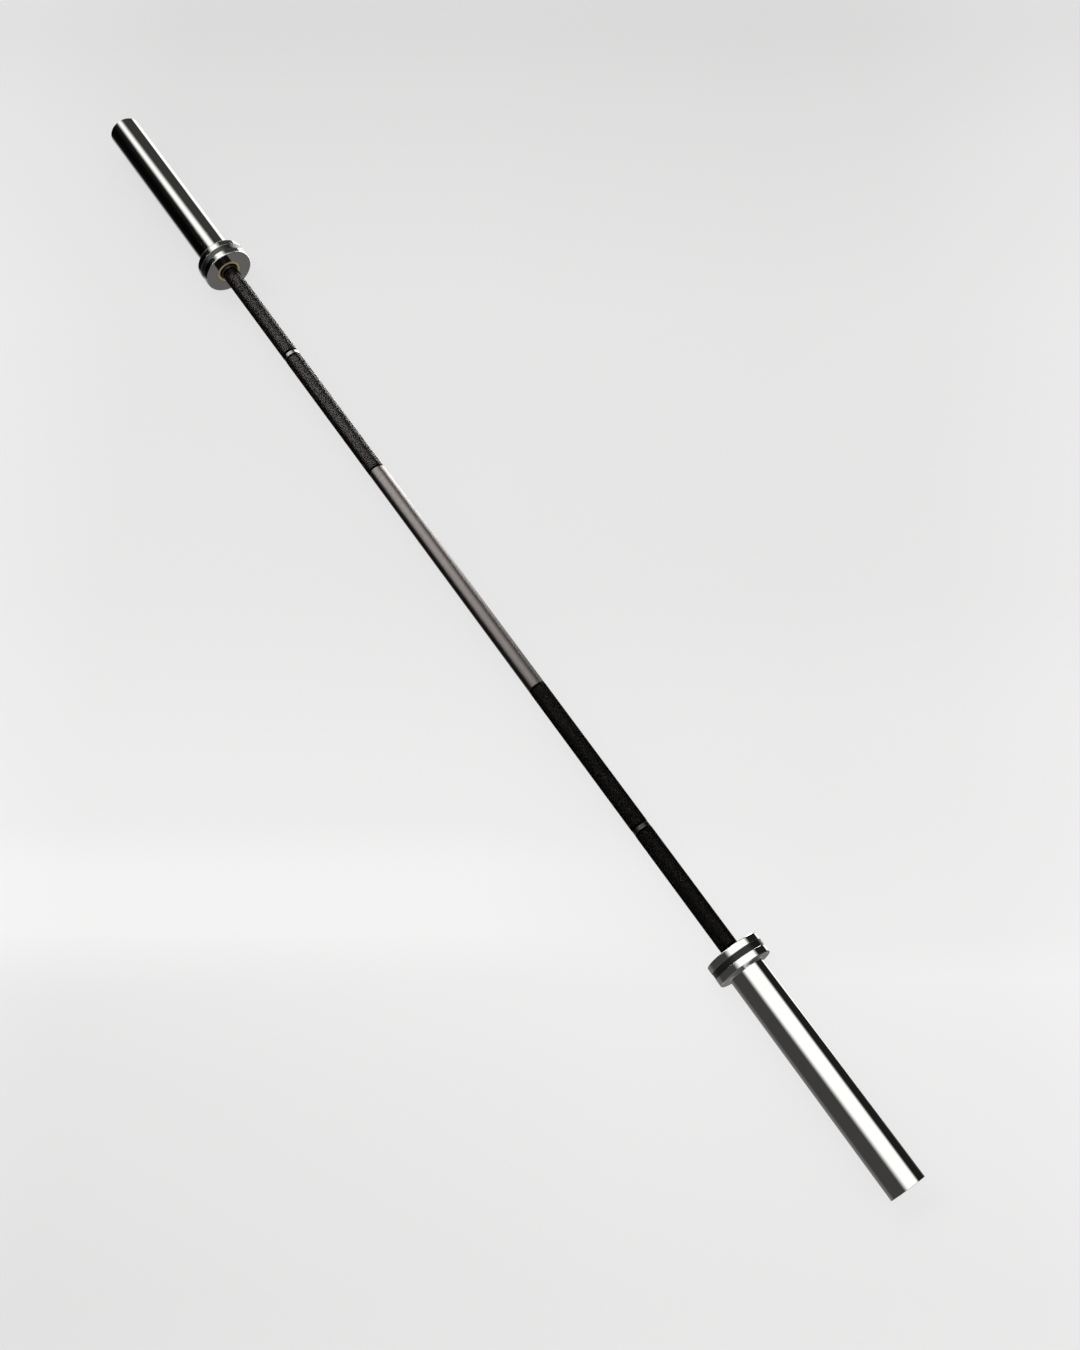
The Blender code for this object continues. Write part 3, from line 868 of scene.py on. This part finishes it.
def black_steel():
    """Black oxide on ground steel: near black with a warm cast in patches, smoother on the ring marks; the
    shoulders and journals where the shaft goes into the collar are painted near black as painted shade.
    """
    material, shader = new_finish("black_steel_finish", metallic=1.0)
    lines = lathe_lines(material, per_metre=1800, detail=3.0)
    patches = clouds(material, per_metre=9, detail=4, stretch=PATCH_STRETCH)
    grain = clouds(material, per_metre=1500, detail=3)
    radius = place_on_bar(material)[2]
    colour = two_tones(material, patches, BLACK_TONES, low=0.35, high=0.68)
    speckle = spread(material, grain, *MOST_OF_A_PATTERN, 0.0, SPECKLE_SHARE)
    colour = blend_colours(material, speckle, colour, BLACK_SPECKLE)
    # Painted shade: past the shaft's radius, on the shoulders and journals, the colour goes near black.
    colour = blend_colours(material, spread(material, radius, *SHAFT_TO_JOURNAL), colour, JOURNAL_PAINTED_SHADE)
    rough = uneven_polish(material, lines, smoothest=0.32, roughest=0.42)
    on_mark = spread(material, radius, *MARK_TO_SHAFT, -MARK_POLISH, 0.0)
    rough = plus(material, rough, on_mark)
    turned_lines = relief(material, lines, 3.5 * MICRON)
    bumps = relief(material, grain, 2 * MICRON, under=turned_lines)
    wire(material, shader, Base_Color=colour, Roughness=rough, Normal=bumps)
    return material


def knurled_steel():
    """The same black oxide on the grips, worn to steel on the diamonds' lands, which are painted lighter on
    the left-hand half and darker on the right as painted light; the grooves and flanks are darkened further
    as painted shade.
    """
    material, shader = new_finish("knurled_steel_finish", metallic=1.0)
    along_bar, _, radius = place_on_bar(material)
    height = spread(material, radius, KNURL_ROOT_R, KNURL_ROOT_R + DIAMOND_HEIGHT)
    wear = clouds(material, per_metre=380, detail=3)
    patches = clouds(material, per_metre=14, detail=4, stretch=GRIP_STRETCH)
    worn_here = spread(material, wear, 0.42, 0.66, LEAST_WEAR, 1.0)
    on_land = spread(material, height, 0.88, 0.99)
    worn = times(material, on_land, worn_here)
    # Painted shade: below the lands the grips take these very dark tones.
    groove = two_tones(material, patches, GROOVE_PAINTED_SHADE_TONES)
    # Painted light: the lands are lighter on the left-hand half of the bar and darker on the right.
    land = two_tones(material, along_bar, LAND_LIT_AND_SHADED_TONES, *LAND_LIGHT_TO_SHADE)
    colour = blend_colours(material, worn, groove, land)
    rough = spread(material, height, 0.0, 1.0, GROOVE_ROUGHNESS, LAND_ROUGHNESS)
    grain = clouds(material, per_metre=2600, detail=2)
    wire(material, shader, Base_Color=colour, Roughness=rough, Normal=relief(material, grain, 4 * MICRON))
    return material


def band_black():
    """Satin black inlay, finely blasted, with turning lines just showing through."""
    material, shader = new_finish("band_black_finish", metallic=0.0)
    grain = clouds(material, per_metre=2400, detail=3)
    lines = lathe_lines(material, per_metre=1500)
    patches = clouds(material, per_metre=60, detail=4)
    colour = two_tones(material, patches, BAND_TONES)
    rough = uneven_polish(material, grain, smoothest=0.22, roughest=0.34)
    turned_lines = relief(material, lines, 2 * MICRON)
    bumps = relief(material, grain, 4 * MICRON, under=turned_lines)
    wire(material, shader, Base_Color=colour, Roughness=rough, Normal=bumps)
    return material


def bronze():
    """Turned bearing bronze with an oily, olive-brown cast."""
    material, shader = new_finish("bronze_finish", metallic=0.4)
    lines = lathe_lines(material, per_metre=2200, detail=3.0)
    oil = clouds(material, per_metre=160, detail=4)
    colour = two_tones(material, oil, BRONZE_TONES, low=0.36, high=0.64)
    rough = uneven_polish(material, oil, smoothest=0.26, roughest=0.40)
    wire(material, shader, Base_Color=colour, Roughness=rough, Normal=relief(material, lines, 4 * MICRON))
    return material


def plain_steel():
    """Ground steel washers: concentric grinding marks and a film of oil."""
    material, shader = new_finish("plain_steel_finish", metallic=1.0)
    lines = lathe_lines(material, per_metre=2800, detail=3.0)
    film = clouds(material, per_metre=200, detail=3)
    colour = two_tones(material, film, STEEL_TONES)
    rough = uneven_polish(material, lines, smoothest=0.28, roughest=0.42)
    wire(material, shader, Base_Color=colour, Roughness=rough, Normal=relief(material, lines, 4 * MICRON))
    return material


def spring_steel():
    """Phosphated spring steel: a mottled dark grey coat."""
    material, shader = new_finish("spring_steel_finish", metallic=1.0)
    mottle = clouds(material, per_metre=900, detail=4)
    grain = clouds(material, per_metre=4200, detail=2)
    colour = two_tones(material, mottle, PHOSPHATE_TONES)
    rough = uneven_polish(material, mottle, smoothest=0.36, roughest=0.50)
    wire(material, shader, Base_Color=colour, Roughness=rough, Normal=relief(material, grain, 4 * MICRON))
    return material


def anodised_black():
    """Black anodised aluminium cap: fine facing rings under the dye, and paler rubs."""
    material, shader = new_finish("cap_black_finish", metallic=1.0)
    rings = lathe_lines(material, per_metre=2400, wander=0.004)
    rubs = clouds(material, per_metre=120, detail=4)
    colour = two_tones(material, rubs, CAP_TONES, low=0.45, high=0.7)
    rough = uneven_polish(material, rings, smoothest=0.30, roughest=0.42)
    wire(material, shader, Base_Color=colour, Roughness=rough, Normal=relief(material, rings, 6 * MICRON))
    return material


def rubber():
    """Moulded nitrile rubber with a dry bloom."""
    material, shader = new_finish("rubber_finish", metallic=0.0)
    bloom = clouds(material, per_metre=700, detail=4)
    grain = clouds(material, per_metre=5200, detail=2)
    colour = two_tones(material, bloom, RUBBER_TONES, low=0.4, high=0.7)
    rough = uneven_polish(material, bloom, smoothest=0.50, roughest=0.66)
    wire(material, shader, Base_Color=colour, Roughness=rough, Normal=relief(material, grain, 6 * MICRON))
    return material


def build_shaft(black, knurl):
    """The bare shaft, and the four knurled grips on it."""
    shaft = turned("shaft_fine", shaft_stations(), on_axis=True)
    face = along("right_collar")[0]
    corners = [(side * (face + SHOULDER_ROUND), JOURNAL_R) for side in (-1, 1)]
    rounded(shaft, corners, SHOULDER_ROUND / 2)
    hand_over(shaft, "shaft", "shaft", black)
    for part, (start, end) in grip_spans().items():
        right = knurled_grip("right_" + part, start, end)
        left = turned_over(right, "left_" + part)
        for grip in (left, right):
            hand_over(grip, "shaft", "shaft", knurl)


def build_bushings_and_washers(bearing, ground):
    """The plain rings between shaft and sleeve; the outer washer stays with the shaft."""
    for part, bore_r, edge_break, slot, material, body in (
        ("inner_bushing", INNER_BUSHING_BORE_R, BUSHING_CHAMFER, "bronze", bearing, None),
        ("outer_bushing", OUTER_BUSHING_BORE_R, BUSHING_CHAMFER, "bronze", bearing, None),
        ("inner_thrust_washer", INNER_WASHER_BORE_R, FINE_CHAMFER, "plain_steel", ground, None),
        ("outer_thrust_washer", OUTER_BUSHING_BORE_R, FINE_CHAMFER, "plain_steel", ground, "shaft"),
    ):
        start, end = along("right_" + part)
        piece = plain_ring("right_" + part + "_fine", start, end, bore_r, BUSHING_R, edge_break)
        both_ends(piece, part, material, body)


def build_circlips(sprung):
    """The snap ring on the shaft, and the ring that keeps the cap in the sleeve."""
    snap = circlip("right_snap_ring_fine", "right_snap_ring", SNAP_RING_R, SNAP_RING_HEIGHT, lug_side=1)
    both_ends(snap, "snap_ring", sprung, "shaft")
    keeper = circlip(
        "right_retaining_ring_fine",
        "right_retaining_ring",
        RETAINING_RING_R,
        RETAINING_RING_HEIGHT,
        lug_side=-1,
    )
    both_ends(keeper, "retaining_ring", sprung)


def build_bar():
    black = black_steel()
    knurl = knurled_steel()
    bright = chrome()
    bearing = bronze()
    ground = plain_steel()
    sprung = spring_steel()
    build_shaft(black, knurl)
    both_ends(sleeve(), "sleeve", bright)
    both_ends(collar(), "collar", bright)
    both_ends(collar_band(), "collar_band", band_black())
    build_bushings_and_washers(bearing, ground)
    build_circlips(sprung)
    both_ends(end_cap(), "end_cap", anodised_black())
    both_ends(cap_o_ring(), "cap_o_ring", rubber())


def paper():
    """The floor's plain paper, lit a little unevenly as in the photograph; the unevenness is painted light,
    laid in the paper's own glow.
    """
    material, shader = new_finish("studio_paper", metallic=0.0)
    place = add_node(material, "TexCoord").outputs["Object"]
    away = add_node(material, "VectorMath", {0: place}, operation="LENGTH").outputs["Value"]
    across_inputs = {0: place, 1: PAPER_ACROSS}
    across = add_node(material, "VectorMath", across_inputs, operation="DOT_PRODUCT").outputs["Value"]
    beside_inputs = {0: place, 1: PAPER_ALONG}
    beside = add_node(material, "VectorMath", beside_inputs, operation="DOT_PRODUCT").outputs["Value"]
    uneven = plus(material, bent(material, across, PAPER_CREST), bent(material, beside, PAPER_SIDES))
    for depth, share in PAPER_DIPS:
        dip = times(material, bent(material, across, depth), bent(material, beside, share))
        uneven = plus(material, uneven, dip)
    uneven = times(material, uneven, bent(material, away, PAPER_UNEVEN))
    # Painted light: the paper's glow makes a pool of light on it, with soft lighter and darker bands.
    glow = plus(material, bent(material, away, PAPER_GLOW), uneven)
    shader.inputs["Base Color"].default_value = (*PAPER_GREY, 1.0)
    shader.inputs["Roughness"].default_value = PAPER_ROUGHNESS
    shader.inputs["Specular IOR Level"].default_value = 0.0
    shader.inputs["Emission Color"].default_value = (1.0, 1.0, 1.0, 1.0)
    wire(material, shader, Emission_Strength=glow)
    return material


def floor_and_backdrop():
    """A pale floor that sweeps up into a round backdrop."""
    floor_level = frame_low.z - FLOOR_DROP
    bpy.ops.object.select_all(action="DESELECT")
    bpy.ops.mesh.primitive_cylinder_add(
        vertices=STUDIO_SIDES,
        radius=STUDIO_R,
        depth=STUDIO_HEIGHT,
        location=(0, 0, floor_level + STUDIO_HEIGHT / 2),
    )
    sweep = bpy.context.object
    sweep.name = "studio_sweep"
    bpy.ops.object.transform_apply(location=True, rotation=True, scale=True)
    bpy.ops.object.mode_set(mode="EDIT")
    pick(sweep, "FACE", lambda face: face.normal.z > 0.5)
    bpy.ops.mesh.delete(type="FACE")
    pick(sweep, "EDGE", lambda edge: all(vertex.co.z < floor_level + TOUCH for vertex in edge.verts))
    bpy.ops.mesh.bevel(offset=SWEEP_ROUND, segments=SWEEP_STEPS, affect="EDGES", profile=0.5)
    bpy.ops.mesh.select_all(action="SELECT")
    bpy.ops.mesh.flip_normals()
    close_edit()
    bpy.ops.object.shade_smooth()
    sweep.data.materials.append(paper())
    sweep.visible_glossy = False


def tinted(tent, colour, amount):
    return add_node(tent, "VectorMath", {0: colour, "Scale": amount}, operation="SCALE").outputs["Vector"]


def overhead_softbox(tent, turn, lean):
    """Long and overhead: wide over the near end, narrow over the far end, brightest over the middle."""
    left_edge = bent(tent, lean, BOX_LEFT_EDGE)
    left_full = bent(tent, lean, BOX_LEFT_FULL)
    right_full = bent(tent, lean, BOX_RIGHT_FULL)
    right_edge = bent(tent, lean, BOX_RIGHT_EDGE)
    rise = step_between(tent, turn, left_edge, left_full)
    fall = step_between(tent, turn, right_full, right_edge, 1.0, 0.0)
    box = times(tent, rise, fall)
    box = times(tent, box, step_between(tent, lean, *BOX_FAR_END))
    box = times(tent, box, step_between(tent, lean, *BOX_NEAR_END, 1.0, 0.0))
    colour = blend_colours(tent, box, CREAM, WHITE)
    return tinted(tent, colour, times(tent, box, bent(tent, lean, BOX_POWER)))


def right_reflector(tent, turn, lean):
    """Low on the right; its upper edge lies lower towards the near end."""
    past_edge = minus(tent, turn, bent(tent, lean, REFLECTOR_LIMIT))
    board = step_between(tent, past_edge, *REFLECTOR_EDGE)
    board = times(tent, board, step_between(tent, turn, *REFLECTOR_FOOT, 1.0, 0.0))
    return tinted(tent, WHITE, times(tent, board, bent(tent, lean, REFLECTOR_POWER)))


def dim_air(tent, lean, side, up):
    """Nearly dark air on both sides, with a glow from the floor below and a trace past the near end."""
    to_right = step_between(tent, side, *AIR_SIDES)
    air = spread(tent, to_right, 0.0, 1.0, bent(tent, lean, LEFT_AIR), bent(tent, lean, RIGHT_AIR))
    near = spread(tent, lean, *FLOOR_GLOW_LEAN)
    from_floor = times(tent, near, spread(tent, up, *FLOOR_GLOW_DROP, 0.0, FLOOR_GLOW))
    past_end = times(tent, step_between(tent, lean, *END_AIR_LEAN), END_AIR)
    return tinted(tent, AIR, plus(tent, plus(tent, air, from_floor), past_end))


def light_from_the_ends(tent, turn, lean):
    """Past the near end a strip overhead and two weak ones low down; paper low on the left and far away."""
    strips = times(tent, bent(tent, turn, END_LIGHT), step_between(tent, lean, *END_LIGHT_LEAN))
    left_floor = step_between(tent, turn, *LEFT_FLOOR_TURN, LEFT_FLOOR, 0.0)
    left_floor = times(tent, left_floor, step_between(tent, lean, *LEFT_FLOOR_LEAN, 1.0, 0.0))
    far_paper = step_between(tent, lean, *FAR_PAPER_LEAN, FAR_PAPER, 0.0)
    return tinted(tent, WHITE, plus(tent, plus(tent, strips, left_floor), far_paper))


def studio_light():
    """The light tent, which lights the bar and shows in its chrome.

    A direction is told by its turn round the bar in degrees, from straight up towards +Y, and by its lean
    along the bar: -1 looks along the bar to its far end, and 1 to its near end.
    """
    tent = bpy.data.worlds.new("studio_light")
    bpy.context.scene.world = tent
    tent.use_nodes = True
    direction = add_node(tent, "TexCoord").outputs["Generated"]
    apart = add_node(tent, "SeparateXYZ", {"Vector": direction})
    lean, side, up = (apart.outputs[axis] for axis in "XYZ")
    turn = add_node(tent, "Math", {0: side, 1: up}, operation="ARCTAN2").outputs["Value"]
    turn = times(tent, turn, math.degrees(1))
    light = overhead_softbox(tent, turn, lean)
    for more in (
        right_reflector(tent, turn, lean),
        dim_air(tent, lean, side, up),
        light_from_the_ends(tent, turn, lean),
    ):
        light = add_node(tent, "VectorMath", {0: light, 1: more}, operation="ADD").outputs["Vector"]
    tent.node_tree.links.new(light, tent.node_tree.nodes["Background"].inputs["Color"])


def camera():
    lens = bpy.data.cameras.new("camera")
    lens.lens = LENS_MM
    lens.sensor_width = SENSOR_MM
    lens.clip_start, lens.clip_end = LENS_CLIP
    made = bpy.data.objects.new("camera", lens)
    made.location = CAMERA_PLACE
    made.rotation_mode = "QUATERNION"
    aim = Vector(CAMERA_AIM) - Vector(CAMERA_PLACE)
    made.rotation_quaternion = aim.to_track_quat("-Z", "Y")
    bpy.context.scene.collection.objects.link(made)
    bpy.context.scene.camera = made


def studio():
    floor_and_backdrop()
    studio_light()
    view = bpy.context.scene.view_settings
    view.view_transform = "Standard"
    view.look = "None"
    camera()


build_bar()
studio()
